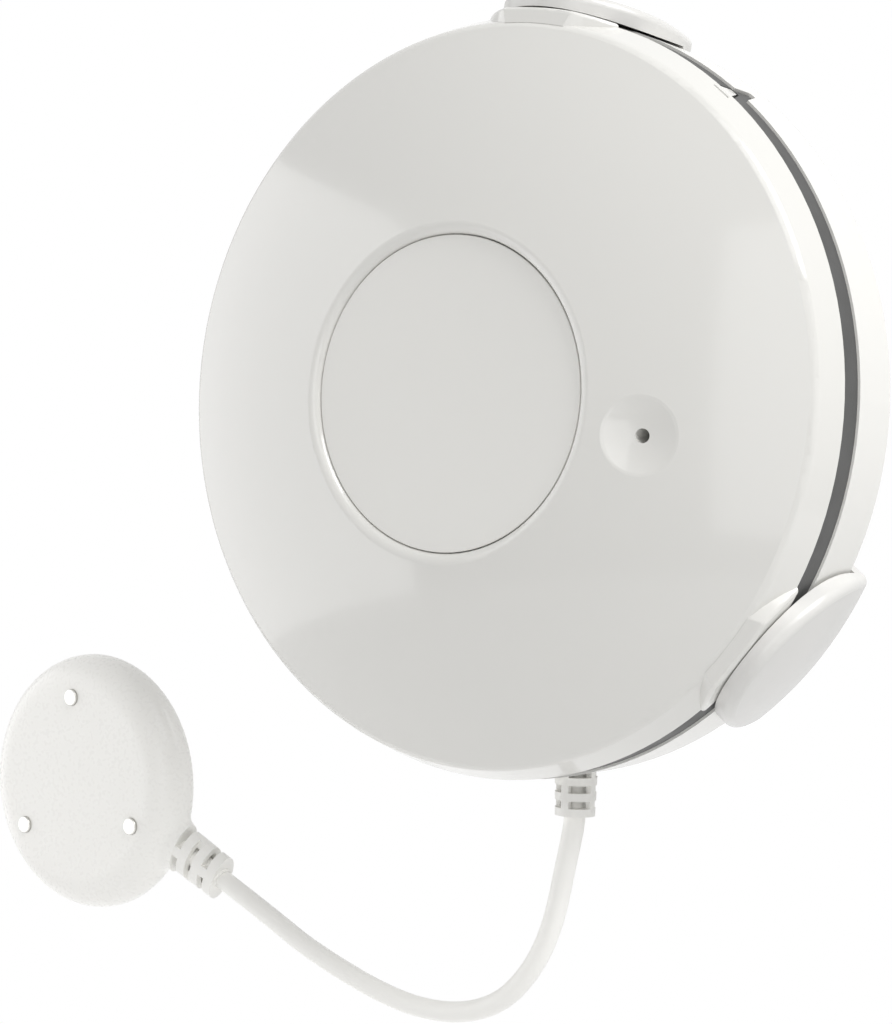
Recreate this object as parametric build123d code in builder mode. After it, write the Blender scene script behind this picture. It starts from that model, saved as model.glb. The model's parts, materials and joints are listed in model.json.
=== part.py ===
from build123d import *
import math
import os

os.makedirs("parts", exist_ok=True)

# A wall-mounted water leak sensor with a wired probe, in millimetres.
# +Z is up, +X is to the right seen from the front, and the front looks along -Y.
# The wall is the plane Y = 0, so a depth here is a distance out of the wall.
# The round unit's axis is the Y axis. Its angles run clockwise from the top, seen from the front.

# Fits and clearances
slide_gap = 0.3          # between an arm and the unit that slides out of it
seat_gap = 0.05          # between faces that rest on each other in different bodies
fit_gap = 0.03           # radial, between a piece and the hole that holds it
keyed_gap = 0.2          # between a moulded tab and its slot
key_turn = 8.35          # angle of the first arm from the top, as the unit hangs

# Wall bracket
plate_t = 1.8
plate_inset = 3.2        # how far the plate's edge lies inside the unit's outside
arm_count = 3
arm_half = 11.0          # half the width of an arm
arm_waist = 3.0          # depth up to which an arm's sides are straight
arm_reach = 16.7         # depth of the tip of the two arms that show
short_reach = 12.0       # depth of the tip of the hidden arm
arm_root_t = 1.15        # thickness of an arm at the wall
arm_belly_t = 2.15       # thickness of an arm at its fullest
arm_tip_t = 1.9          # thickness of an arm at its tip
arm_round = 1.05         # radius of an arm's outer edge
root_round = 3.5
screw_ring_r = 28.0
screw_hole_r = 2.0
screw_head_r = 3.6
pad_t = 0.8
pad_length = 22.0
pad_width = 13.0
pad_inset = 16.0         # from the plate's edge to the middle of a pad
pad_corner = 3.0

# Back housing
back_gap = 0.15          # between the bracket's plate and the housing
housing_r = 45.2
housing_side = 8.0       # height of the housing's outer wall
housing_wall = 1.8       # from the outside to the spigot's outside
floor_t = 2.0
back_round = 0.4
spigot_t = 1.2
spigot_h = 4.6

# Seam gasket and key
seam_w = 3.35
gasket_sink = 0.3        # how far the gasket lies below the housing's outside
key_angle = 40.9
key_w = 2.4
key_tip_w = 0.9          # width of the key at its tip
key_root = 0.8           # how far the cover's tab starts in front of the seam
key_tab_l = 3.1          # how far the cover's tab reaches back over the gasket
key_t = 0.6              # thickness of the cover's tab
key_notch = 3.7          # depth of the notch in the housing
key_round = 0.3

# Front cover
cover_step = 0.2         # how far the cover lies inside the housing's outside
cover_wall = 1.6
cover_draft = 1.5        # how far the side wall leans in from the seam to the face
cover_clear = 0.2        # radial, between the cover and the spigot
edge_depth = 17.35       # depth of the corner between side wall and face
edge_round = 1.3
crown_depth = 24.5       # depth of the face at the button's opening
lip_t = 2.1
lip_round = 1.2
lip_ledge = 2.5          # width of the flat ledge behind the lip
cheek_w = 1.4            # width of the raised cheek round an arm
cheek_h = 0.35           # how far the cheek stands out of the cover at the seam
cheek_step = 0.4         # how far the cheek's edge lies below the corner of the face
cheek_edge_round = 0.5
cheek_round = 0.45

# Test button
opening_r = 18.3
button_gap = 0.08
button_round = 0.12
button_sink = 0.95       # how far the button lies below the lip
button_t = 1.6
flange_w = 1.6
flange_t = 1.25
post_r = 2.0
button_travel = 0.5
plunger_gap = 0.1

# Sound hole and buzzer
sound_offset = 7.6       # from the opening's edge to the sound hole
sound_angle = 99.9
sound_hole_r = 0.8
dimple_r = 4.5
dimple_depth = 0.8
dimple_round = 1.2
boss_r = 5.5
boss_h = 2.2             # how far the boss stands out of the cover's inside
buzzer_r = 6.5
foam_t = 0.6
foam_gap = 0.3

# Circuit board
board_back = 12.0        # depth of the board's rear face
board_t = 1.6
board_clear = 1.2        # radial, between the board and the spigot
board_edge_gap = 0.55    # between the board's straight edge and the battery tray
post_inset = 8.2         # from the housing's inside to the screws
post_angles = (120.0, 195.0, 255.0)
board_post_r = 3.0
board_screw_r = 1.05
board_screw_l = 6.0
board_head_r = 2.4
board_head_h = 1.5
switch_w = 6.2
switch_h = 3.5
plunger_r = 1.7
plunger_l = 3.3
led_spot = (7.5, 0.0)
led_w = 3.2
led_h = 2.8
led_t = 1.0
led_lens_r = 1.2
led_lens_t = 0.7
led_lens_slope = 12.0    # degrees
radio_inset = 14.1       # from the board's edge to the middle of the radio module
radio_angle = 225.0
radio_w = 16.0
radio_h = 13.0
radio_board_t = 0.8
shield_w = 12.0
shield_shift = 1.5
shield_t = 1.6
shield_corner = 0.6
antenna_inset = 2.0      # from the board's edge to the antenna
antenna_wire_r = 0.4
antenna_start = 195.0    # degrees anticlockwise from +X
antenna_turn = 60.0      # degrees that the antenna runs on

# Batteries
cell_r = 5.25
cell_l = 43.7
nub_r = 1.9
nub_h = 0.8
cell_pitch = 11.1
tray_edge = 1.0          # between the tray's upper corners and the housing
tray_wall = 1.1
tray_h = 9.3
tray_clear = 0.3
contact_t = 0.4
contact_push = 1.2
contact_w = 5.2
contact_h = 8.4

# Lead and its outlet
cord_d = 2.55
exit_x = 8.6
exit_depth = 6.3
sleeve_sink = 0.824      # how far the sleeve's root lies inside the housing's outside
relief_root_r = 2.56
relief_tip_r = 2.4
relief_shell = 0.55
relief_ring = 0.95
relief_gap = 0.9
relief_bridge = 1.0
relief_rows = 3
flange_r = 3.05
flange_h = 1.5
flange_sink = 0.1        # how deep the flange's seat is cut into the housing's wall
jacket_tail = 1.5        # from the flange to the end of the jacket
core_r = 0.5
core_spread = 0.65
core_bare = 1.5          # length of the cores between jacket and plug
plug_w = 7.0
plug_t = 3.4
plug_l = 4.0
header_w = 7.4
header_h = 6.0
header_t = 6.8

# Probe
probe_x = -72.7
probe_z = -53.67
probe_r = 17.8
probe_pad_t = 0.8
probe_pad_r = 12.0
probe_mid = 4.0          # depth of the parting line
probe_face = 8.0
face_flat_r = 13.2
back_flat_r = 12.5
neck_angle = -24.1       # direction of the neck, anticlockwise from +X
neck_end = 18.63         # distance of the neck's end from the probe's centre
neck_half_w = 3.65       # half the neck's width at its end
neck_half_t = 2.1        # half the neck's thickness at its end
neck_swell_t = 0.4       # gain of half the thickness at each section back from the end
neck_mid = 15.33         # distance of the neck's middle section from the probe's centre
neck_mid_half_w = 5.1
neck_root = 11.63
neck_root_half_w = 8.8
neck_round = 1.5
cavity_front = 6.2
cavity_back = 2.2
sensor_board_t = 1.0
board_ledge = 1.1        # width of the ledge that the sensor board lies on
pin_ring_r = 11.9
pin_r = 1.15
pin_proud = 0.4
collar_r = 1.5
collar_h = 1.8
sleeve_root = (2.05, 3.3)    # half the thickness and half the width of the oval sleeve
sleeve_tip = (1.9, 3.15)
sleeve_ring = 1.51
sleeve_gap = 1.08
sleeve_rows = 3
sleeve_shell = 0.8
sleeve_bridge = 1.4
sleeve_plug = (1.7, 2.7)
sleeve_plug_l = 3.3
sleeve_collar_l = 0.4
sleeve_collar_t = 0.2    # thickness of the collar round the lead

# Route of the hanging lead, from the unit's outlet to the probe's sleeve
route = [
    (8.6, -6.3, -49.1),
    (8.6, -6.3, -50.3),
    (7.5, -6.3, -55.5),
    (6.0, -6.1, -62.5),
    (3.4, -6.0, -68.2),
    (-1.5, -5.7, -73.5),
    (-9.0, -5.3, -76.1),
    (-18.5, -4.8, -75.9),
    (-32.1, -4.2, -72.0),
    (-40.178, -4.0, -68.212),
    (-48.236, -4.0, -64.613),
]

# Depths, heights and radii that follow from the sizes above
arm_in = housing_r + slide_gap
plate_r = housing_r - plate_inset
pad_ring_r = plate_r - pad_inset
tongue_r = arm_in + arm_root_t - arm_round
cover_r = housing_r - cover_step
housing_back = plate_t + back_gap
floor = housing_back + floor_t
shoulder = housing_back + housing_side
spigot_r = housing_r - housing_wall
housing_in = spigot_r - spigot_t
spigot_top = shoulder + spigot_h
seam_front = shoulder + seam_w
cover_back = seam_front + seat_gap
cover_in = spigot_r + cover_clear
cover_edge_r = cover_r - cover_draft
key_tab_r = cover_r - gasket_sink / 2
cavity_edge_r = cover_edge_r - cover_wall
board_front = board_back + board_t
board_r = housing_in - board_clear
post_ring_r = housing_in - post_inset
antenna_r = board_r - antenna_inset
sound_ring_r = opening_r + sound_offset
button_face = crown_depth - button_sink
lip_back = crown_depth - lip_t
cord_r = cord_d / 2
sleeve_top_z = sleeve_sink - math.sqrt(housing_r**2 - exit_x**2)
sleeve_l = relief_rows * (relief_ring + relief_gap)
exit_z = sleeve_top_z - sleeve_l
flange_z = -math.sqrt(housing_in**2 - (exit_x - flange_r) ** 2) - flange_sink
jacket_end_z = flange_z + flange_h + jacket_tail
plug_z = jacket_end_z + core_bare + plug_l
tray_half_l = (cell_l + nub_h) / 2 + contact_push + contact_t + fit_gap
tray_high = math.sqrt((housing_in - tray_edge) ** 2 - (tray_half_l + tray_wall) ** 2) - tray_wall
cell_highest = tray_high - tray_clear - cell_r
cell_lowest = cell_highest - cell_pitch
tray_low = cell_lowest - cell_r - tray_clear
cell_depth = floor + tray_wall + tray_clear / 3 + cell_r
board_top = tray_low - tray_wall - board_edge_gap
well_r = pin_ring_r + collar_r + keyed_gap
stub_start = well_r + seat_gap
probe_sleeve_l = sleeve_rows * (sleeve_ring + sleeve_gap)
probe_sleeve_end = neck_end + probe_sleeve_l + sleeve_collar_l
arm_angles = [key_turn + i * 360 / arm_count for i in range(arm_count)]

# The face is part of a sphere through the cover's corner and the rim of the button's opening
dome_centre = (cover_edge_r**2 + edge_depth**2 - opening_r**2 - crown_depth**2) / (
    2 * (edge_depth - crown_depth)
)
dome_r = math.hypot(opening_r, crown_depth - dome_centre)


def dome(radius):
    """Depth of the cover's face at a distance from the unit's axis."""
    return dome_centre + math.sqrt(dome_r**2 - radius**2)


sound_boss_depth = dome(sound_ring_r) - cover_wall - boss_h
buzzer_h = sound_boss_depth - foam_gap - foam_t - board_front


def facing(depth):
    """Plane at a depth, seen from the front: x to the right, y up, and its normal out of the wall."""
    return Plane(origin=(0, -depth, 0), x_dir=(1, 0, 0), z_dir=(0, -1, 0))


def section(x=0.0, z=0.0):
    """Plane for profiles that are revolved about a line along Y: x is the radius and y the depth."""
    return Plane(origin=(x, 0, z), x_dir=(1, 0, 0), z_dir=(0, 0, -1))


def tangent(angle, radius):
    """Plane that touches a cylinder about the unit's axis: x runs round it, y is the depth."""
    a = math.radians(angle)
    return Plane(
        origin=(radius * math.sin(a), 0, radius * math.cos(a)),
        x_dir=(math.cos(a), 0, -math.sin(a)),
        z_dir=(-math.sin(a), 0, -math.cos(a)),
    )


def spot(radius, angle):
    """Right and up of a point on a ring about the unit's axis."""
    a = math.radians(angle)
    return (radius * math.sin(a), radius * math.cos(a))


def neck_plane(distance):
    """Plane across the probe's neck at a distance from its centre: x to the front."""
    a = math.radians(neck_angle)
    return Plane(
        origin=(probe_x + distance * math.cos(a), -probe_mid, probe_z + distance * math.sin(a)),
        x_dir=(0, -1, 0),
        z_dir=(math.cos(a), 0, math.sin(a)),
    )


def axis_distance(edge):
    """Distance of an edge's middle from the unit's axis."""
    return math.hypot(edge.center().X, edge.center().Z)


def tongue_lines(reach, grow):
    """Outline of an arm, wider by grow all round, drawn in the line context it is called in."""
    half = arm_half + grow
    EllipticalCenterArc((0, arm_waist), half, reach + grow - arm_waist, arc_size=180)
    Polyline((-half, arm_waist), (-half, 0), (half, 0), (half, arm_waist))


def key_lines(grow, base, tip):
    """Outline of the key from a depth to its tip, wider by grow: one side straight, the other slanting."""
    side = -key_w / 2 - grow
    slant = (side + key_tip_w + 2 * grow, tip)
    Polyline((side, base), (side, tip), slant, (key_w / 2 + grow, base), close=True)


def build_arm(reach):
    """One grip arm at the top of the unit: a tongue cut from a pillowed ring, its outer edge soft."""
    with BuildPart() as arm:
        with BuildSketch(section()):
            with BuildLine():
                Line((arm_in, 0), (arm_in + arm_root_t, 0))
                ThreePointArc(
                    (arm_in + arm_root_t, 0),
                    (arm_in + arm_belly_t, reach / 2),
                    (arm_in + arm_tip_t, reach),
                )
                Polyline((arm_in + arm_tip_t, reach), (arm_in, reach), (arm_in, 0))
            make_face()
        revolve(axis=Axis.Y)
        with BuildSketch(tangent(0, arm_in + 2 * arm_belly_t)):
            with BuildLine():
                tongue_lines(reach, 0)
            make_face()
        extrude(amount=arm_in / 2, mode=Mode.INTERSECT)
        outer = arm.faces().sort_by_distance((0, -reach / 2, arm_in + 2 * arm_belly_t))[0]
        fillet(outer.edges().filter_by(lambda e: e.center().Y < -seat_gap), radius=arm_round)
    return arm.part


def slotted_sleeve(base, root, tip, shell, ring, gap, bridge, bridge_turns):
    """Tapered oval sleeve with rows of windows, from a base plane outwards, and its bore for the lead."""
    rows = len(bridge_turns)
    length = rows * (ring + gap)
    reach = root[1] + shell
    with BuildPart() as sleeve:
        with BuildSketch(base):
            Ellipse(*root)
        with BuildSketch(base.offset(length)):
            Ellipse(*tip)
        loft()
        with BuildSketch(base):
            Ellipse(tip[0] - shell, tip[1] - shell)
        extrude(amount=length - ring, mode=Mode.SUBTRACT)
        with BuildSketch(base):
            Circle(cord_r + fit_gap)
        extrude(amount=length, mode=Mode.SUBTRACT)
        for row, turns in enumerate(bridge_turns):
            with BuildSketch(base.offset(row * (ring + gap))):
                Circle(reach)
                for turn in turns:
                    Rectangle(bridge, 2 * (reach + shell), rotation=turn, mode=Mode.SUBTRACT)
            extrude(amount=gap, mode=Mode.SUBTRACT)
    return sleeve.part


def save(piece, name):
    """Labels a finished piece and writes it."""
    piece.part.label = name
    export_step(piece.part, f"parts/{name}.step")


# Wall bracket: the plate and its three grip arms
grip_arms = [build_arm(reach) for reach in (arm_reach, arm_reach, short_reach)]
with BuildPart() as wall_bracket:
    with BuildSketch(facing(0)) as plate:
        Circle(plate_r)
        with PolarLocations(0, arm_count, start_angle=90 - key_turn):
            Rectangle(arm_in + arm_root_t, 2 * arm_half, align=(Align.MIN, Align.CENTER))
        Circle(tongue_r, mode=Mode.INTERSECT)
        inner_corners = plate.vertices().filter_by(lambda v: abs(Vector(v).length - plate_r) < seat_gap)
        fillet(inner_corners, radius=root_round)
    extrude(amount=plate_t)
    for angle, arm_part in zip(arm_angles, grip_arms):
        add(arm_part.rotate(Axis.Y, angle))
    with BuildSketch(facing(0)):
        with PolarLocations(pad_ring_r, arm_count, start_angle=90 - key_turn):
            RectangleRounded(pad_width, pad_length, pad_corner)
    extrude(amount=pad_t, mode=Mode.SUBTRACT)
    with Locations(facing(plate_t)):
        with PolarLocations(screw_ring_r, arm_count, start_angle=90 - key_turn + 180 / arm_count):
            CounterSinkHole(screw_hole_r, screw_head_r, depth=plate_t, counter_sink_angle=90)
save(wall_bracket, "wall_bracket")

with BuildPart() as bracket_adhesive_pads:
    with BuildSketch(facing(0)):
        with PolarLocations(pad_ring_r, arm_count, start_angle=90 - key_turn):
            RectangleRounded(pad_width - keyed_gap, pad_length - keyed_gap, pad_corner)
    extrude(amount=pad_t)
save(bracket_adhesive_pads, "bracket_adhesive_pads")

# Back housing: shell with spigot, key notch, board posts and the lead's outlet
with BuildPart() as back_housing:
    with BuildSketch(section()) as shell:
        with BuildLine():
            Polyline(
                (0, housing_back),
                (housing_r, housing_back),
                (housing_r, shoulder),
                (spigot_r, shoulder),
                (spigot_r, spigot_top),
                (housing_in, spigot_top),
                (housing_in, floor),
                (0, floor),
                close=True,
            )
        make_face()
        fillet(shell.vertices().sort_by_distance((housing_r, housing_back))[0], radius=back_round)
    revolve(axis=Axis.Y)
    with BuildSketch(facing(floor)):
        with Locations(*[spot(post_ring_r, angle) for angle in post_angles]):
            Circle(board_post_r)
    extrude(amount=board_back - floor)
    with BuildSketch(facing(board_back)):
        with Locations(*[spot(post_ring_r, angle) for angle in post_angles]):
            Circle(board_screw_r + fit_gap)
    extrude(amount=-board_screw_l, mode=Mode.SUBTRACT)
    with BuildSketch(tangent(key_angle, housing_r + 1)) as notch:
        with BuildLine():
            key_lines(0, shoulder + keyed_gap, shoulder - key_notch)
        make_face()
        fillet(notch.vertices().sort_by(Axis.Y)[:2], radius=key_round)
    extrude(amount=housing_r + 1 - spigot_r - seat_gap, mode=Mode.SUBTRACT)
    outlet_plane = Plane(origin=(exit_x, -exit_depth, exit_z), x_dir=(1, 0, 0), z_dir=(0, 0, 1))
    with BuildSketch(outlet_plane):
        Circle(relief_root_r + fit_gap)
    extrude(amount=jacket_end_z - exit_z, mode=Mode.SUBTRACT)
    with BuildSketch(outlet_plane.offset(flange_z - exit_z)):
        Circle(flange_r + fit_gap)
    extrude(amount=flange_h + fit_gap, mode=Mode.SUBTRACT)
save(back_housing, "back_housing")

# Seam gasket: ring on the housing's shoulder, slotted for the cover's key tab
with BuildPart() as seam_gasket:
    with BuildSketch(facing(shoulder)):
        Circle(housing_r - gasket_sink)
        Circle(spigot_r + fit_gap, mode=Mode.SUBTRACT)
    extrude(amount=seam_w)
    with BuildSketch(tangent(key_angle, housing_r + 1)) as tab_slot:
        with BuildLine():
            key_lines(keyed_gap, seam_front + keyed_gap, cover_back - key_tab_l - keyed_gap)
        make_face()
        fillet(tab_slot.vertices().sort_by(Axis.Y)[:2], radius=key_round)
    extrude(amount=housing_r + 1 - key_tab_r + key_t + seat_gap, mode=Mode.SUBTRACT)
    with BuildSketch(tangent(key_angle, housing_r - gasket_sink - seat_gap)) as notch_fill:
        with BuildLine():
            key_lines(-keyed_gap / 2, shoulder + keyed_gap / 2, shoulder - key_notch + keyed_gap / 2)
        make_face()
        fillet(notch_fill.vertices().sort_by(Axis.Y)[:2], radius=key_round)
    extrude(amount=housing_wall - gasket_sink - 2 * seat_gap)
save(seam_gasket, "seam_gasket")

# Front cover: outer form, less a cavity that leaves the lip and the sound boss standing
sound_x, sound_z = spot(sound_ring_r, sound_angle)
with BuildPart() as cover_cavity:
    with BuildSketch(section()):
        with BuildLine():
            ledge_r = opening_r + lip_ledge
            inner_mid = (cavity_edge_r + ledge_r) / 2
            Polyline(
                (ledge_r, dome(ledge_r) - cover_wall),
                (ledge_r, lip_back),
                (0, lip_back),
                (0, cover_back),
                (cover_in, cover_back),
                (cover_in, spigot_top + cover_clear),
                (cavity_edge_r, dome(cavity_edge_r) - cover_wall),
            )
            ThreePointArc(
                (cavity_edge_r, dome(cavity_edge_r) - cover_wall),
                (inner_mid, dome(inner_mid) - cover_wall),
                (ledge_r, dome(ledge_r) - cover_wall),
            )
        make_face()
    revolve(axis=Axis.Y)
    with BuildSketch(facing(sound_boss_depth)):
        with Locations((sound_x, sound_z)):
            Circle(boss_r)
    extrude(amount=crown_depth - sound_boss_depth, mode=Mode.SUBTRACT)

# Raised cheek under the tip of an arm: its rim shows round the arm
with BuildPart() as cheek:
    with BuildSketch(section()) as cheek_profile:
        with BuildLine():
            cheek_edge_r = cover_r + cheek_h
            cheek_edge = (cheek_edge_r, edge_depth - cheek_step)
            Polyline(
                (cover_in + fit_gap, cover_back),
                (cheek_edge_r, cover_back),
                cheek_edge,
                (cover_edge_r - seat_gap, edge_depth - seat_gap),
                close=True,
            )
        make_face()
        fillet(cheek_profile.vertices().sort_by_distance(cheek_edge)[0], radius=cheek_edge_round)
    revolve(axis=Axis.Y)
    with BuildSketch(tangent(0, cover_r + 2 * cheek_h)):
        with BuildLine():
            tongue_lines(arm_reach, cheek_w)
        make_face()
    extrude(amount=cover_r / 2, mode=Mode.INTERSECT)
    cheek_rim = ShapeList()
    for side in cheek.faces().filter_by(GeomType.EXTRUSION):
        cheek_rim += side.edges().sort_by(axis_distance)[1:]
    fillet(cheek_rim.filter_by(lambda e: e.center().Y < -cover_back - seat_gap), radius=cheek_round)

with BuildPart() as front_cover:
    with BuildSketch(section()) as outer:
        with BuildLine():
            outer_mid = (cover_edge_r + opening_r) / 2
            Polyline(
                (opening_r, crown_depth),
                (opening_r, cover_back),
                (cover_r, cover_back),
                (cover_edge_r, edge_depth),
            )
            face_mid = (outer_mid, dome(outer_mid))
            ThreePointArc((cover_edge_r, edge_depth), face_mid, (opening_r, crown_depth))
        make_face()
        fillet(outer.vertices().sort_by_distance((cover_edge_r, edge_depth))[0], radius=edge_round)
        fillet(outer.vertices().sort_by_distance((opening_r, crown_depth))[0], radius=lip_round)
    revolve(axis=Axis.Y)
    for angle in arm_angles[:2]:
        add(cheek.part.rotate(Axis.Y, angle))
    add(cover_cavity.part, mode=Mode.SUBTRACT)
    sound_face = Vector(sound_x, -dome(sound_ring_r), sound_z)
    outward = (sound_face - Vector(0, -dome_centre, 0)).normalized()
    dimple_ball_r = (dimple_r**2 + dimple_depth**2) / (2 * dimple_depth)
    with Locations(sound_face + outward * (dimple_ball_r - dimple_depth)):
        Sphere(dimple_ball_r, mode=Mode.SUBTRACT)
    dimple_edge = front_cover.edges().filter_by(GeomType.CIRCLE).sort_by_distance(sound_face)[0]
    fillet(dimple_edge, radius=dimple_round)
    with BuildSketch(facing(sound_boss_depth)):
        with Locations((sound_x, sound_z)):
            Circle(sound_hole_r)
    extrude(amount=crown_depth - sound_boss_depth, mode=Mode.SUBTRACT)
    with BuildSketch(tangent(key_angle, key_tab_r)) as key_tab:
        with BuildLine():
            key_lines(0, cover_back + key_root, cover_back - key_tab_l)
        make_face()
        fillet(key_tab.vertices().sort_by(Axis.Y)[:2], radius=key_round)
    extrude(amount=key_t)
save(front_cover, "front_cover")

# Test button: disc under the lip, with a flange that stops on it and a post for the switch
button_r = opening_r - button_gap
flange_front = lip_back - seat_gap
post_end = board_front + switch_h + plunger_l / 2 + plunger_gap
with BuildPart() as test_button:
    with BuildSketch(section()) as cap:
        with BuildLine():
            Polyline(
                (0, button_face),
                (button_r, button_face),
                (button_r, flange_front),
                (button_r + flange_w, flange_front),
                (button_r + flange_w, flange_front - flange_t),
                (button_r - flange_w, flange_front - flange_t),
                (button_r - flange_w, button_face - button_t),
                (post_r, button_face - button_t),
                (post_r, post_end),
                (0, post_end),
                close=True,
            )
        make_face()
        fillet(cap.vertices().sort_by_distance((button_r, button_face))[0], radius=button_round)
    revolve(axis=Axis.Y)
save(test_button, "test_button")

# Circuit board and what is on it
with BuildPart() as circuit_board:
    with BuildSketch(facing(board_back)):
        Circle(board_r)
        with Locations((0, board_top)):
            Rectangle(2 * board_r, board_r, align=(Align.CENTER, Align.MIN), mode=Mode.SUBTRACT)
        with Locations(*[spot(post_ring_r, angle) for angle in post_angles]):
            Circle(board_screw_r + 4 * fit_gap, mode=Mode.SUBTRACT)
    extrude(amount=board_t)
save(circuit_board, "circuit_board")

with BuildPart() as board_screws:
    with BuildSketch(facing(board_front)):
        with Locations(*[spot(post_ring_r, angle) for angle in post_angles]):
            Circle(board_screw_r)
    extrude(amount=-(board_screw_l - 1))
    with BuildSketch(facing(board_front)):
        with Locations(*[spot(post_ring_r, angle) for angle in post_angles]):
            Circle(board_head_r)
    extrude(amount=board_head_h)
    fillet(board_screws.faces().group_by(Axis.Y)[0].edges(), radius=board_head_h / 3)
save(board_screws, "board_screws")

with BuildPart() as tact_switch:
    with BuildSketch(facing(board_front)):
        RectangleRounded(switch_w, switch_w, plunger_r / 4)
    extrude(amount=switch_h)
    with BuildSketch(facing(board_front + switch_h)):
        Circle(plunger_r + fit_gap)
    extrude(amount=-(plunger_l / 2 + 2 * button_travel), mode=Mode.SUBTRACT)
save(tact_switch, "tact_switch")

with BuildPart() as switch_plunger:
    with BuildSketch(facing(board_front + switch_h - plunger_l / 2)):
        Circle(plunger_r)
    extrude(amount=plunger_l)
    fillet(switch_plunger.faces().sort_by(Axis.Y)[0].edges(), radius=plunger_r / 4)
save(switch_plunger, "switch_plunger")

with BuildPart() as status_led:
    with BuildSketch(facing(board_front)):
        with Locations(led_spot):
            Rectangle(led_w, led_h)
    extrude(amount=led_t)
    with BuildSketch(facing(board_front + led_t)):
        with Locations(led_spot):
            Circle(led_lens_r)
    extrude(amount=led_lens_t, taper=led_lens_slope)
save(status_led, "status_led")

with BuildPart() as buzzer:
    with BuildSketch(facing(board_front)):
        with Locations((sound_x, sound_z)):
            Circle(buzzer_r)
    extrude(amount=buzzer_h)
    fillet(buzzer.faces().sort_by(Axis.Y)[0].edges(), radius=foam_t)
    with BuildSketch(facing(board_front + buzzer_h)):
        with Locations((sound_x, sound_z)):
            Circle(2 * sound_hole_r)
    extrude(amount=-foam_t, mode=Mode.SUBTRACT)
save(buzzer, "buzzer")

with BuildPart() as buzzer_gasket:
    with BuildSketch(facing(board_front + buzzer_h)):
        with Locations((sound_x, sound_z)):
            Circle(boss_r - foam_gap)
            Circle(boss_r / 2, mode=Mode.SUBTRACT)
    extrude(amount=foam_t)
save(buzzer_gasket, "buzzer_gasket")

radio_x, radio_z = spot(board_r - radio_inset, radio_angle)
with BuildPart() as radio_module:
    with BuildSketch(facing(board_front)):
        with Locations((radio_x, radio_z)):
            Rectangle(radio_w, radio_h)
    extrude(amount=radio_board_t)
    with BuildSketch(facing(board_front + radio_board_t)):
        with Locations((radio_x + shield_shift, radio_z)):
            RectangleRounded(shield_w, shield_w, shield_corner)
    extrude(amount=shield_t)
save(radio_module, "radio_module")

with BuildPart() as antenna_wire:
    with BuildLine(facing(board_front + antenna_wire_r)) as antenna_path:
        CenterArc((0, 0), antenna_r, antenna_start, antenna_turn)
    with BuildSketch(Plane(origin=antenna_path.line @ 0, z_dir=antenna_path.line % 0)):
        Circle(antenna_wire_r)
    sweep(path=antenna_path.line)
save(antenna_wire, "antenna_wire")

# Chips, capacitors and a coil as plain blocks: right, up, width, height and thickness
chips = [
    (-3.0, -15.0, 7.0, 7.0, 0.9),
    (10.0, -13.0, 5.0, 4.0, 1.4),
    (-16.0, -3.0, 4.0, 5.0, 1.2),
    (-27.0, 1.5, 3.2, 1.6, 0.8),
]
cans = [(8.0, -22.0, 2.5, 5.0), (15.0, -22.0, 2.5, 5.0), (-12.0, 3.0, 1.9, 3.4)]
with BuildPart() as board_components:
    for right, up, width, height, thick in chips:
        with BuildSketch(facing(board_front)):
            with Locations((right, up)):
                Rectangle(width, height)
        extrude(amount=thick)
    for right, up, radius, tall in cans:
        with BuildSketch(facing(board_front)):
            with Locations((right, up)):
                Circle(radius)
        extrude(amount=tall)
save(board_components, "board_components")

# Batteries: tray on the housing's floor, two cells end for end, and four contacts
with BuildPart() as battery_holder:
    with BuildSketch(facing(floor)):
        with Locations((0, tray_low - tray_wall)):
            Rectangle(
                2 * (tray_half_l + tray_wall),
                tray_high - tray_low + 2 * tray_wall,
                align=(Align.CENTER, Align.MIN),
            )
    extrude(amount=tray_h)
    with BuildSketch(facing(floor + tray_wall)):
        with Locations((0, tray_low)):
            Rectangle(2 * tray_half_l, tray_high - tray_low, align=(Align.CENTER, Align.MIN))
    extrude(amount=tray_h, mode=Mode.SUBTRACT)
    fillet(battery_holder.edges().filter_by(Axis.Y), radius=tray_wall / 2)
save(battery_holder, "battery_holder")


def build_cell(height, direction):
    """One cell along X at a height, with its nub towards +X or -X."""
    start = Plane(
        origin=(-direction * (cell_l + nub_h) / 2, -cell_depth, height),
        x_dir=(0, 1, 0),
        z_dir=(direction, 0, 0),
    )
    with BuildPart() as cell:
        with BuildSketch(start):
            Circle(cell_r)
        extrude(amount=cell_l)
        fillet(cell.edges(), radius=nub_h / 2)
        with BuildSketch(start.offset(cell_l)):
            Circle(nub_r)
        extrude(amount=nub_h)
    return cell


battery_cell_lower = build_cell(cell_lowest, 1)
save(battery_cell_lower, "battery_cell_lower")
battery_cell_upper = build_cell(cell_highest, -1)
save(battery_cell_upper, "battery_cell_upper")

with BuildPart() as battery_contacts:
    for side in (-1, 1):
        plate_x = side * (tray_half_l - fit_gap)
        plate_plane = Plane(origin=(plate_x, -cell_depth, 0), x_dir=(0, 1, 0), z_dir=(-side, 0, 0))
        with BuildSketch(plate_plane):
            with Locations((0, -side * cell_lowest), (0, -side * cell_highest)):
                Rectangle(contact_w, contact_h)
        extrude(amount=contact_t)
        with BuildSketch(plate_plane.offset(contact_t)):
            with Locations((0, -side * cell_lowest), (0, -side * cell_highest)):
                Circle(nub_r)
        extrude(amount=contact_push)
save(battery_contacts, "battery_contacts")

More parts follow.
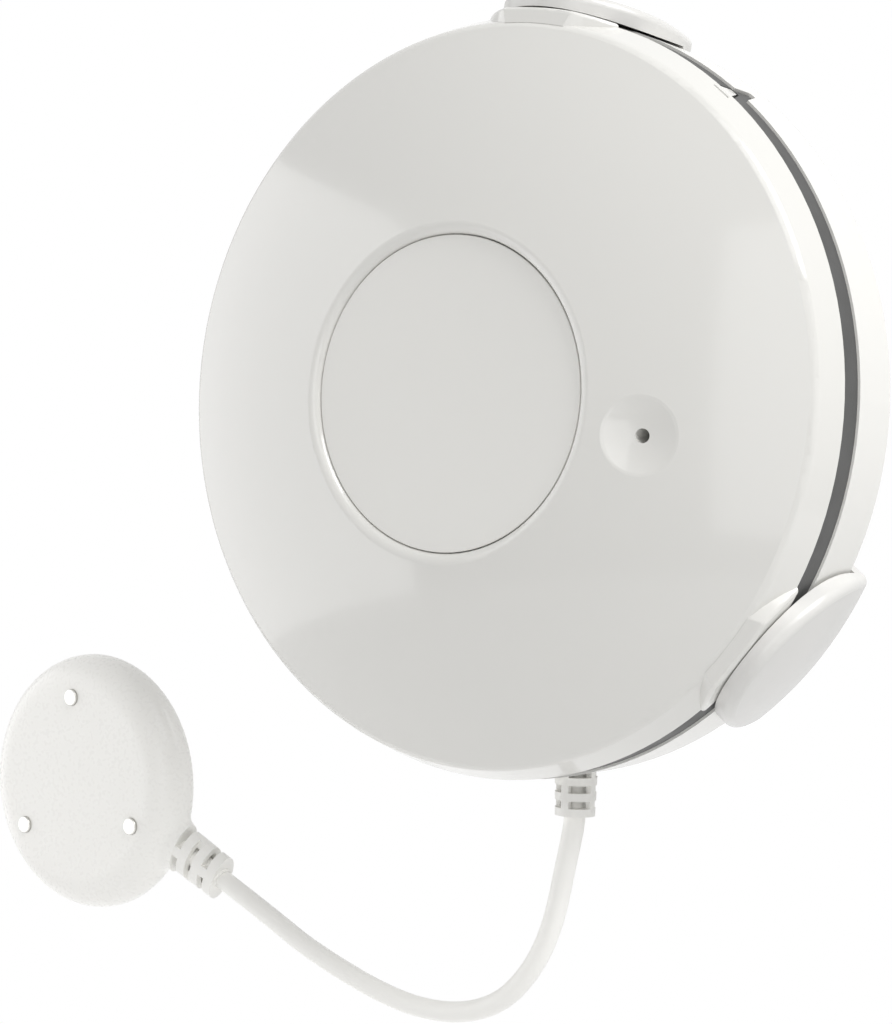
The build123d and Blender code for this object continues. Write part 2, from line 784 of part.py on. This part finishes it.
# The lead's outlet in the unit: sleeve, flange, the lead's inner end, plug and header
sleeve_top = Plane(origin=(exit_x, -exit_depth, sleeve_top_z), x_dir=(1, 0, 0), z_dir=(0, 0, -1))
with BuildPart() as body_strain_relief:
    add(
        slotted_sleeve(
            sleeve_top,
            (relief_root_r, relief_root_r),
            (relief_tip_r, relief_tip_r),
            relief_shell,
            relief_ring,
            relief_gap,
            relief_bridge,
            [(0, 90)] * relief_rows,
        )
    )
    with BuildSketch(sleeve_top):
        Circle(relief_root_r)
        Circle(cord_r + fit_gap, mode=Mode.SUBTRACT)
    extrude(amount=sleeve_top_z - flange_z)
    with BuildSketch(sleeve_top.offset(sleeve_top_z - flange_z)):
        Circle(flange_r)
        Circle(cord_r + fit_gap, mode=Mode.SUBTRACT)
    extrude(amount=-flange_h)
save(body_strain_relief, "body_strain_relief")

with BuildPart() as body_lead_end:
    jacket_plane = Plane(origin=(exit_x, -exit_depth, exit_z), x_dir=(1, 0, 0), z_dir=(0, 0, 1))
    with BuildSketch(jacket_plane):
        Circle(cord_r)
    extrude(amount=jacket_end_z - exit_z)
    with BuildSketch(jacket_plane.offset(jacket_end_z - exit_z)):
        with Locations((-core_spread, 0), (core_spread, 0)):
            Circle(core_r)
    extrude(amount=core_bare)
save(body_lead_end, "body_lead_end")

with BuildPart() as lead_plug:
    with BuildSketch(Plane(origin=(exit_x, -exit_depth, plug_z), x_dir=(1, 0, 0), z_dir=(0, 0, -1))):
        Rectangle(plug_w, plug_t)
    extrude(amount=plug_l)
    chamfer(lead_plug.faces().sort_by(Axis.Z)[0].edges(), length=core_r)
save(lead_plug, "lead_plug")

with BuildPart() as lead_header:
    with BuildSketch(facing(board_back)):
        with Locations((exit_x, plug_z)):
            Rectangle(header_w, header_h, align=(Align.CENTER, Align.MIN))
    extrude(amount=-header_t)
    chamfer(lead_header.faces().sort_by(Axis.Y)[-1].edges(), length=core_r)
save(lead_header, "lead_header")

# Probe: one pebble with a neck, split at its widest into a front and a back shell
probe_axis = Axis((probe_x, 0, probe_z), (0, 1, 0))
with BuildPart() as pebble:
    with BuildSketch(section(probe_x, probe_z)):
        with BuildLine():
            Line((0, probe_pad_t), (back_flat_r, probe_pad_t))
            EllipticalCenterArc(
                (back_flat_r, probe_mid),
                probe_r - back_flat_r,
                probe_mid - probe_pad_t,
                start_angle=270,
                arc_size=90,
            )
            EllipticalCenterArc(
                (face_flat_r, probe_mid),
                probe_r - face_flat_r,
                probe_face - probe_mid,
                arc_size=90,
            )
            Polyline((face_flat_r, probe_face), (0, probe_face), (0, probe_pad_t))
        make_face()
    revolve(axis=probe_axis)
    with BuildSketch(neck_plane(neck_root)):
        Ellipse(neck_half_t + 2 * neck_swell_t, neck_root_half_w)
    with BuildSketch(neck_plane(neck_mid)):
        Ellipse(neck_half_t + neck_swell_t, neck_mid_half_w)
    with BuildSketch(neck_plane(neck_end)):
        Ellipse(neck_half_t, neck_half_w)
    loft()
    neck_joint = pebble.edges().filter_by(GeomType.BSPLINE)
    fillet(neck_joint.filter_by(lambda e: abs(e.center().Y + probe_mid) > neck_round), radius=neck_round)
    with BuildSketch(facing(probe_mid - sensor_board_t)):
        with Locations((probe_x, probe_z)):
            Circle(well_r)
    extrude(amount=cavity_front - probe_mid + sensor_board_t, mode=Mode.SUBTRACT)
    with BuildSketch(facing(cavity_back)):
        with Locations((probe_x, probe_z)):
            Circle(well_r - board_ledge)
    extrude(amount=probe_mid - sensor_board_t - cavity_back, mode=Mode.SUBTRACT)
    with BuildSketch(neck_plane(neck_end - sleeve_plug_l)):
        Ellipse(sleeve_plug[0] + fit_gap, sleeve_plug[1] + fit_gap)
    extrude(amount=sleeve_plug_l, mode=Mode.SUBTRACT)
    with BuildSketch(neck_plane(stub_start)):
        Circle(cord_r + fit_gap)
    extrude(amount=neck_end - stub_start, mode=Mode.SUBTRACT)

pin_angles = [neck_angle + i * 120 for i in range(3)]
pin_spots = [
    (probe_x + pin_ring_r * math.cos(math.radians(a)), probe_z + pin_ring_r * math.sin(math.radians(a)))
    for a in pin_angles
]
with BuildPart() as probe_front_shell:
    add(pebble.part)
    split(bisect_by=facing(probe_mid), keep=Keep.TOP)
    with BuildSketch(facing(probe_mid)):
        with Locations(*pin_spots):
            Circle(pin_r + fit_gap)
    extrude(amount=probe_face - probe_mid, mode=Mode.SUBTRACT)
save(probe_front_shell, "probe_front_shell")

with BuildPart() as probe_back_shell:
    add(pebble.part)
    split(bisect_by=facing(probe_mid), keep=Keep.BOTTOM)
save(probe_back_shell, "probe_back_shell")

with BuildPart() as contact_pins:
    with BuildSketch(facing(probe_mid)):
        with Locations(*pin_spots):
            Circle(collar_r)
    extrude(amount=collar_h)
    with BuildSketch(facing(probe_mid + collar_h)):
        with Locations(*pin_spots):
            Circle(pin_r)
    extrude(amount=probe_face + pin_proud - probe_mid - collar_h)
    fillet(contact_pins.faces().group_by(Axis.Y)[0].edges(), radius=pin_r / 8)
save(contact_pins, "contact_pins")

with BuildPart() as probe_board:
    with BuildSketch(facing(probe_mid - sensor_board_t)):
        with Locations((probe_x, probe_z)):
            Circle(well_r - fit_gap)
    extrude(amount=sensor_board_t)
save(probe_board, "probe_board")

with BuildPart() as probe_adhesive_pad:
    with BuildSketch(facing(0)):
        with Locations((probe_x, probe_z)):
            Circle(probe_pad_r)
    extrude(amount=probe_pad_t)
save(probe_adhesive_pad, "probe_adhesive_pad")

with BuildPart() as probe_strain_relief:
    add(
        slotted_sleeve(
            neck_plane(neck_end),
            sleeve_root,
            sleeve_tip,
            sleeve_shell,
            sleeve_ring,
            sleeve_gap,
            sleeve_bridge,
            [(90,), (0,), (90,)],
        )
    )
    with BuildSketch(neck_plane(neck_end - sleeve_plug_l)):
        Ellipse(*sleeve_plug)
        Circle(cord_r + fit_gap, mode=Mode.SUBTRACT)
    extrude(amount=sleeve_plug_l)
    with BuildSketch(neck_plane(neck_end + probe_sleeve_l)):
        Circle(cord_r + sleeve_collar_t)
        Circle(cord_r + fit_gap, mode=Mode.SUBTRACT)
    extrude(amount=sleeve_collar_l)
save(probe_strain_relief, "probe_strain_relief")

with BuildPart() as probe_lead_end:
    with BuildSketch(neck_plane(stub_start)):
        Circle(cord_r)
    extrude(amount=probe_sleeve_end - stub_start)
save(probe_lead_end, "probe_lead_end")

# The hanging lead: straight runs joined by the largest tangent arcs that they allow
points = [Vector(*p) for p in route]
runs = [b - a for a, b in zip(points, points[1:])]
radii = []
for before, after in zip(runs, runs[1:]):
    turn = math.radians(before.get_angle(after))
    radii.append(0.45 * min(before.length, after.length) / math.tan(turn / 2))
with BuildPart() as probe_cord:
    with BuildLine() as cord_path:
        FilletPolyline(*points, radius=radii)
    with BuildSketch(Plane(origin=points[0], z_dir=runs[0])):
        Circle(cord_r)
    sweep(path=cord_path.wire())
save(probe_cord, "probe_cord")

cord_l = cord_path.wire().length
print("cord radii", [round(r, 1) for r in radii])
print("cord length", round(cord_l, 2))
print("cord volume over section times length", probe_cord.part.volume / (math.pi * cord_r**2 * cord_l))
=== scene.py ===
import json
import math

import bmesh
import bpy
from mathutils import Euler, Matrix, Vector


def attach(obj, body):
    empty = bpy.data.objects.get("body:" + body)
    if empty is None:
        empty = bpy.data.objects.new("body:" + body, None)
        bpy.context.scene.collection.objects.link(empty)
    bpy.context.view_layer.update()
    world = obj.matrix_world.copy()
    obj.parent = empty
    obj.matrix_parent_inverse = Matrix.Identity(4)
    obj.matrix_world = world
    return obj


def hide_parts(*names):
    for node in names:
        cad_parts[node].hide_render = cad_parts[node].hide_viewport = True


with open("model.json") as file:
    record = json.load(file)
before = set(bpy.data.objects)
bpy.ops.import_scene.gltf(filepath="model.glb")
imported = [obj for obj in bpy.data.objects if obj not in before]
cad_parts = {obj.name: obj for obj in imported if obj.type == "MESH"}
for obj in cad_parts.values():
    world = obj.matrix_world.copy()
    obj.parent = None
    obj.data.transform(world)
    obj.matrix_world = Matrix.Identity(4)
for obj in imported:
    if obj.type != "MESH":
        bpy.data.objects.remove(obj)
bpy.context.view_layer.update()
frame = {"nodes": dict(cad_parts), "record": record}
MM = 0.001

# Camera: where the photograph was taken from, worked out from the rims and the three contacts
AZIMUTH = 35.62
ELEVATION = 0.62
ROLL = 1.87
DISTANCE = 277.2 * MM
AIM = Vector((-15.26, -1.3, -13.83)) * MM
FOCAL_LENGTH = 76.79
SENSOR = 36.0
NEAR_CLIP = 10 * MM


def add_camera():
    """The photograph's camera: it looks at AIM from DISTANCE away, along the photograph's direction."""
    turn = Euler((math.radians(90 - ELEVATION), 0, math.radians(AZIMUTH))).to_matrix()
    turn = turn @ Matrix.Rotation(math.radians(ROLL), 3, "Z")
    data = bpy.data.cameras.new("camera")
    data.lens = FOCAL_LENGTH
    data.sensor_width = SENSOR
    data.clip_start = NEAR_CLIP
    camera = bpy.data.objects.new("camera", data)
    camera.matrix_world = Matrix.Translation(AIM + turn @ Vector((0, 0, DISTANCE))) @ turn.to_4x4()
    bpy.context.scene.collection.objects.link(camera)
    bpy.context.scene.camera = camera


# The lead: its size, and in millimetres the route's points as it hangs in the photograph
CORD_DIAMETER = 2.55 * MM
CORD_STEPS = 24
CORD_SIDES = 10
CORD_ROUTE = [
    (8.6, -6.3, -49.1),
    (8.6, -6.3, -50.3),
    (7.5, -6.3, -55.5),
    (6.0, -6.1, -62.5),
    (3.4, -6.0, -68.2),
    (-1.5, -5.7, -73.5),
    (-9.0, -5.3, -76.1),
    (-18.5, -4.8, -75.9),
    (-32.1, -4.2, -72.0),
    (-40.178, -4.0, -68.212),
    (-48.236, -4.0, -64.613),
]


def add_cord():
    """The free stretch of the lead, one smooth curve from outlet to probe. The points carry its radius."""
    curve = bpy.data.curves.new("lead", "CURVE")
    curve.dimensions = "3D"
    curve.resolution_u = CORD_STEPS
    curve.bevel_depth = 1
    curve.bevel_resolution = CORD_SIDES
    spline = curve.splines.new("NURBS")
    spline.points.add(len(CORD_ROUTE) - 1)
    for point, place in zip(spline.points, CORD_ROUTE):
        point.co = (*(Vector(place) * MM), 1)
        point.radius = CORD_DIAMETER / 2
    spline.order_u = 3
    spline.use_endpoint_u = True
    cord = bpy.data.objects.new("lead", curve)
    bpy.context.scene.collection.objects.link(cord)
    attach(cord, "unit")
    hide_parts("probe_cord")
    return cord


# Finishes: noise scales are in features per metre, bump heights in metres
NOISE_LOW = 0.3
NOISE_HIGH = 0.7
FLOW_SCALE = 45
WAVE_SCALE = 160
WAVE_STRENGTH = 0.2
HAZE_SCALE = 1800
HAZE_SPREAD = (0.92, 1.1)
GLOSS_IOR = 1.5
COAT_ROUGHNESS = 0.04
CLOUD_SCALE = 60
GRAIN_SCALE = 3200
GRAIN_HEIGHT = 0.03 * MM
GRAIN_SPREAD = (0.9, 1.15)
SATIN_IOR = 1.48
DUST_SCALE = 250
DUST_SPREAD = (0.85, 1.2)
RUBBER_SCALE = 4200
RUBBER_HEIGHT = 0.04 * MM
RUBBER_STRENGTH = 0.4
RUBBER_SHEEN = 0.15
SHEEN_ROUGHNESS = 0.5
CELL_SCALE = 2600
CELL_HEIGHT = 0.1 * MM
CELL_STRENGTH = 0.8
# Painted shade: how much darker the pressed-in middles of the foam's cells are coloured
CELL_PAINTED_SHADE = 0.25
FOAM_ROUGHNESS = 0.9
TRACE_SCALE = 260
TRACE_WIDTH = 0.06
MASK_SHADE = 0.15
WEAVE_SCALE = 1500
WEAVE_HEIGHT = 0.02 * MM
WEAVE_STRENGTH = 0.3
MASK_ROUGHNESS = (0.25, 0.4)
STREAK_SCALE = 1400
STREAK_HEIGHT = 0.01 * MM
STREAK_STRENGTH = 0.15
STREAK_SHADE = 0.1
STREAK_SPREAD = (0.7, 1.3)


def srgb(red, green, blue):
    """Linear colour from sRGB levels of 0 to 255."""
    levels = (level / 255 for level in (red, green, blue))
    return (*((v / 12.92 if v <= 0.04045 else ((v + 0.055) / 1.055) ** 2.4) for v in levels), 1)


def new_material(name):
    """A material with its nodes, and its Principled shader."""
    material = bpy.data.materials.new(name)
    material.use_nodes = True
    tree = material.node_tree
    return material, tree, tree.nodes["Principled BSDF"]


def add_noise(tree, place, scale, detail):
    """Noise in the unit's own coordinates, in features per metre."""
    noise = tree.nodes.new("ShaderNodeTexNoise")
    noise.inputs["Scale"].default_value = scale
    noise.inputs["Detail"].default_value = detail
    tree.links.new(place.outputs["Object"], noise.inputs["Vector"])
    return noise


def add_spread(tree, noise, low, high):
    """Turns the middle of a noise's range into a number between low and high."""
    spread = tree.nodes.new("ShaderNodeMapRange")
    spread.inputs["From Min"].default_value = NOISE_LOW
    spread.inputs["From Max"].default_value = NOISE_HIGH
    spread.inputs["To Min"].default_value = low
    spread.inputs["To Max"].default_value = high
    tree.links.new(noise.outputs["Fac"], spread.inputs["Value"])
    return spread.outputs["Result"]


def add_tint(tree, factor, color, other):
    """Lets the colour wander between two tints with a factor."""
    tint = tree.nodes.new("ShaderNodeMix")
    tint.data_type = "RGBA"
    tint.inputs["A"].default_value = color
    tint.inputs["B"].default_value = other
    tree.links.new(factor, tint.inputs["Factor"])
    return tint.outputs["Result"]


def add_bump(tree, factor, height, strength):
    """Raises the surface by a height where the factor is high."""
    bump = tree.nodes.new("ShaderNodeBump")
    bump.inputs["Strength"].default_value = strength
    bump.inputs["Distance"].default_value = height
    tree.links.new(factor, bump.inputs["Height"])
    return bump.outputs["Normal"]


def darker(color, share):
    """The colour with a share of its light taken away."""
    return (*(level * (1 - share) for level in color[:3]), 1)


def around(level, spread):
    """The low and high end of a level that varies by these shares."""
    return level * spread[0], min(1, level * spread[1])


def finish_shader(tree, shader, color, roughness, normal):
    """Links the three varied inputs that every finish has."""
    tree.links.new(color, shader.inputs["Base Color"])
    tree.links.new(roughness, shader.inputs["Roughness"])
    tree.links.new(normal, shader.inputs["Normal"])


def gloss_plastic(name, color, roughness, coat=0.0, mottle=0.012, wave_height=0.004 * MM):
    """Polished moulding: slow waviness of the skin, faint flow clouds, and hair-fine handling haze."""
    material, tree, shader = new_material(name)
    place = tree.nodes.new("ShaderNodeTexCoord")
    flow = add_noise(tree, place, FLOW_SCALE, 3)
    haze = add_noise(tree, place, HAZE_SCALE, 3)
    wave = add_noise(tree, place, WAVE_SCALE, 1)
    finish_shader(
        tree,
        shader,
        add_tint(tree, flow.outputs["Fac"], color, darker(color, mottle)),
        add_spread(tree, haze, *around(roughness, HAZE_SPREAD)),
        add_bump(tree, wave.outputs["Fac"], wave_height, WAVE_STRENGTH),
    )
    shader.inputs["IOR"].default_value = GLOSS_IOR
    shader.inputs["Coat Weight"].default_value = coat
    shader.inputs["Coat Roughness"].default_value = COAT_ROUGHNESS
    return material


def satin_plastic(name, color, roughness, grain=0.3, mottle=0.03):
    """Spark-eroded moulding: a fine even grain under slow clouds of tone."""
    material, tree, shader = new_material(name)
    place = tree.nodes.new("ShaderNodeTexCoord")
    flow = add_noise(tree, place, CLOUD_SCALE, 3)
    fine = add_noise(tree, place, GRAIN_SCALE, 2)
    finish_shader(
        tree,
        shader,
        add_tint(tree, flow.outputs["Fac"], color, darker(color, mottle)),
        add_spread(tree, fine, *around(roughness, GRAIN_SPREAD)),
        add_bump(tree, fine.outputs["Fac"], GRAIN_HEIGHT, grain),
    )
    shader.inputs["IOR"].default_value = SATIN_IOR
    return material


def rubber(name, color, roughness, bloom=0.12):
    """Soft moulded rubber: dusty bloom in patches over a close matt grain."""
    material, tree, shader = new_material(name)
    place = tree.nodes.new("ShaderNodeTexCoord")
    dust = add_noise(tree, place, DUST_SCALE, 5)
    fine = add_noise(tree, place, RUBBER_SCALE, 3)
    pale = (*(min(1, level * (1 + bloom)) for level in color[:3]), 1)
    finish_shader(
        tree,
        shader,
        add_tint(tree, dust.outputs["Fac"], darker(color, bloom / 2), pale),
        add_spread(tree, dust, *around(roughness, DUST_SPREAD)),
        add_bump(tree, fine.outputs["Fac"], RUBBER_HEIGHT, RUBBER_STRENGTH),
    )
    shader.inputs["Sheen Weight"].default_value = RUBBER_SHEEN
    shader.inputs["Sheen Roughness"].default_value = SHEEN_ROUGHNESS
    return material


def foam(name, color):
    """Closed-cell foam: a cell pattern pressed into a soft, rough face, with painted shade darkening the
    pressed-in middles of the cells.
    """
    material, tree, shader = new_material(name)
    place = tree.nodes.new("ShaderNodeTexCoord")
    cells = tree.nodes.new("ShaderNodeTexVoronoi")
    cells.inputs["Scale"].default_value = CELL_SCALE
    tree.links.new(place.outputs["Object"], cells.inputs["Vector"])
    cell_depth_and_shade = cells.outputs["Distance"]
    # Painted shade: the cells are coloured darker where they are pressed in deepest
    tint = add_tint(tree, cell_depth_and_shade, darker(color, CELL_PAINTED_SHADE), color)
    tree.links.new(tint, shader.inputs["Base Color"])
    tree.links.new(add_bump(tree, cell_depth_and_shade, CELL_HEIGHT, CELL_STRENGTH), shader.inputs["Normal"])
    shader.inputs["Roughness"].default_value = FOAM_ROUGHNESS
    return material


def laminate(name, mask, copper):
    """Circuit board: solder mask with traces showing through as paler bands, and a weave beneath."""
    material, tree, shader = new_material(name)
    place = tree.nodes.new("ShaderNodeTexCoord")
    traces = tree.nodes.new("ShaderNodeTexBrick")
    traces.inputs["Scale"].default_value = TRACE_SCALE
    traces.inputs["Mortar Size"].default_value = TRACE_WIDTH
    traces.inputs["Color1"].default_value = mask
    traces.inputs["Color2"].default_value = darker(mask, MASK_SHADE)
    traces.inputs["Mortar"].default_value = copper
    turn = tree.nodes.new("ShaderNodeMapping")
    turn.inputs["Rotation"].default_value = (math.pi / 2, 0, 0)
    tree.links.new(place.outputs["Object"], turn.inputs["Vector"])
    tree.links.new(turn.outputs["Vector"], traces.inputs["Vector"])
    weave = add_noise(tree, place, WEAVE_SCALE, 2)
    finish_shader(
        tree,
        shader,
        traces.outputs["Color"],
        add_spread(tree, weave, *MASK_ROUGHNESS),
        add_bump(tree, weave.outputs["Fac"], WEAVE_HEIGHT, WEAVE_STRENGTH),
    )
    return material


def metal(name, color, roughness, streak=(1, 1, 1)):
    """Plated, drawn or turned metal: uneven gloss, stretched along the way it was worked."""
    material, tree, shader = new_material(name)
    place = tree.nodes.new("ShaderNodeTexCoord")
    stretch = tree.nodes.new("ShaderNodeMapping")
    stretch.inputs["Scale"].default_value = streak
    tree.links.new(place.outputs["Object"], stretch.inputs["Vector"])
    noise = tree.nodes.new("ShaderNodeTexNoise")
    noise.inputs["Scale"].default_value = STREAK_SCALE
    noise.inputs["Detail"].default_value = 4
    tree.links.new(stretch.outputs["Vector"], noise.inputs["Vector"])
    finish_shader(
        tree,
        shader,
        add_tint(tree, noise.outputs["Fac"], color, darker(color, STREAK_SHADE)),
        add_spread(tree, noise, *around(roughness, STREAK_SPREAD)),
        add_bump(tree, noise.outputs["Fac"], STREAK_HEIGHT, STREAK_STRENGTH),
    )
    shader.inputs["Metallic"].default_value = 1
    return material


COVER_WHITE = srgb(224, 223, 219)
# Painted light: the button is coloured paler than the cover so its flat disc shows the extra light it
# catches
BUTTON_WHITE_PAINTED_LIGHT = srgb(233, 232, 228)
HOUSING_WHITE = srgb(232, 231, 227)
# Painted shade: the bracket is coloured darker than the housing to stand for the shade on its arms, which
# face down and to the right
BRACKET_WHITE_PAINTED_SHADE = srgb(218, 217, 214)
PROBE_WHITE = srgb(252, 251, 247)
LEAD_WHITE = srgb(250, 249, 245)
SLEEVE_WHITE = srgb(249, 248, 244)
BOARD_GREEN = srgb(30, 92, 54)
TRACE_GREEN = srgb(58, 128, 78)

# Each material slot's finish, and what it is called with
FINISHES = {
    "bracket_plastic": (gloss_plastic, BRACKET_WHITE_PAINTED_SHADE, 0.24),
    "housing_plastic": (gloss_plastic, HOUSING_WHITE, 0.22),
    "cover_plastic": (gloss_plastic, COVER_WHITE, 0.13, 0.35),
    "button_plastic": (gloss_plastic, BUTTON_WHITE_PAINTED_LIGHT, 0.14, 0.3),
    "gasket_rubber": (rubber, srgb(60, 60, 59), 0.65),
    "foam_tape": (foam, srgb(206, 206, 203)),
    "board_laminate": (laminate, BOARD_GREEN, TRACE_GREEN),
    "plated_steel": (metal, srgb(214, 213, 208), 0.24),
    "component_black": (satin_plastic, srgb(38, 38, 39), 0.5),
    "shield_steel": (metal, srgb(202, 202, 200), 0.3, (1, 1, 12)),
    "copper_wire": (metal, srgb(214, 146, 102), 0.3, (8, 1, 8)),
    "led_lens": (gloss_plastic, srgb(238, 236, 222), 0.08, 0.5),
    "holder_plastic": (satin_plastic, srgb(226, 226, 223), 0.45),
    "cell_sleeve": (gloss_plastic, srgb(62, 66, 72), 0.2, 0.6, 0.1),
    "connector_plastic": (satin_plastic, srgb(230, 226, 212), 0.4),
    "lead_jacket": (satin_plastic, LEAD_WHITE, 0.36, 0.1, 0.01),
    "relief_rubber": (satin_plastic, SLEEVE_WHITE, 0.4, 0.15, 0.01),
    "probe_plastic": (gloss_plastic, PROBE_WHITE, 0.28, 0.0, 0.004, 0.001 * MM),
    "pin_steel": (metal, srgb(208, 207, 203), 0.2),
}


def paint(cord):
    """Gives every CAD node, and the lead, the material of its slot."""
    made = {name: make(name, *settings) for name, (make, *settings) in FINISHES.items()}
    for part in frame["record"]["subparts"]:
        node = frame["nodes"][part["node"]]
        node.data.materials.clear()
        node.data.materials.append(made[part["material_slot"]])
    cord.data.materials.append(made["lead_jacket"])


# Studio: soft boxes round the unit, each with its place, its aim, its width and height, and its watts
AMBIENT = 0.33
LAMPS = {
    "left_panel": ((-0.92, -0.33, -0.03), (0, 0, -0.03), (1.06, 0.94), 4.0),
    "upper_side": ((0.9, -0.06, 0.9), (0, 0, 0), (0.8, 0.8), 12.5),
    "upper_right": ((0.7, -0.45, 0.9), (0, 0, 0), (0.8, 0.8), 3.4),
    "front_panel": ((0.36, -0.96, 0.1), (0, 0, 0.1), (0.5, 0.8), 1.4),
}


def background_rays(tree):
    """One where the camera, a reflection or a ray through glass sees the surface, else nought."""
    rays = tree.nodes.new("ShaderNodeLightPath")
    seen = tree.nodes.new("ShaderNodeMath")
    seen.operation = "MAXIMUM"
    tree.links.new(rays.outputs["Is Camera Ray"], seen.inputs[0])
    tree.links.new(rays.outputs["Is Transmission Ray"], seen.inputs[1])
    mirrored = tree.nodes.new("ShaderNodeMath")
    mirrored.operation = "MAXIMUM"
    tree.links.new(seen.outputs["Value"], mirrored.inputs[0])
    tree.links.new(rays.outputs["Is Glossy Ray"], mirrored.inputs[1])
    return mirrored.outputs["Value"]


def add_area(name, place, aim, size, watts):
    """A soft box that shines from place towards aim."""
    data = bpy.data.lights.new(name, "AREA")
    data.shape = "RECTANGLE"
    data.size, data.size_y = size
    data.energy = watts
    lamp = bpy.data.objects.new(name, data)
    lamp.location = place
    lamp.rotation_euler = (Vector(aim) - Vector(place)).to_track_quat("-Z", "Y").to_euler()
    bpy.context.scene.collection.objects.link(lamp)


def add_world():
    """Plain studio surroundings: white to the eye and in reflections, softer as light."""
    world = bpy.data.worlds.new("studio")
    bpy.context.scene.world = world
    world.use_nodes = True
    tree = world.node_tree
    background = tree.nodes["Background"]
    background.inputs["Color"].default_value = (1, 1, 1, 1)
    level = tree.nodes.new("ShaderNodeMapRange")
    level.inputs["To Min"].default_value = AMBIENT
    level.inputs["To Max"].default_value = 1
    tree.links.new(background_rays(tree), level.inputs["Value"])
    tree.links.new(level.outputs["Result"], background.inputs["Strength"])


# Floor: a pale round floor below the probe, low enough that the photograph's frame doesn't take it in
FLOOR_Z = -0.3
FLOOR_RADIUS = 0.75
FLOOR_SIDES = 96
FLOOR_LIFT = 0.5
FLOOR_COLOR = (0.9, 0.9, 0.9, 1)
FLOOR_ROUGHNESS = 0.9


def add_floor():
    """A pale floor that looks white and still takes the unit's shadow."""
    mesh = bpy.data.meshes.new("floor")
    shape = bmesh.new()
    bmesh.ops.create_circle(shape, cap_ends=True, radius=FLOOR_RADIUS, segments=FLOOR_SIDES)
    shape.to_mesh(mesh)
    shape.free()
    floor = bpy.data.objects.new("floor", mesh)
    floor.location = (0, 0, FLOOR_Z)
    bpy.context.scene.collection.objects.link(floor)
    material, tree, shader = new_material("floor")
    shader.inputs["Base Color"].default_value = FLOOR_COLOR
    shader.inputs["Roughness"].default_value = FLOOR_ROUGHNESS
    shader.inputs["Emission Color"].default_value = (1, 1, 1, 1)
    lift = tree.nodes.new("ShaderNodeMapRange")
    lift.inputs["To Max"].default_value = FLOOR_LIFT
    tree.links.new(background_rays(tree), lift.inputs["Value"])
    tree.links.new(lift.outputs["Result"], shader.inputs["Emission Strength"])
    mesh.materials.append(material)


add_camera()
lead = add_cord()
paint(lead)
add_world()
add_floor()
for lamp_name, settings in LAMPS.items():
    add_area(lamp_name, *settings)

bpy.context.scene.view_settings.view_transform = "Standard"
bpy.context.view_layer.update()
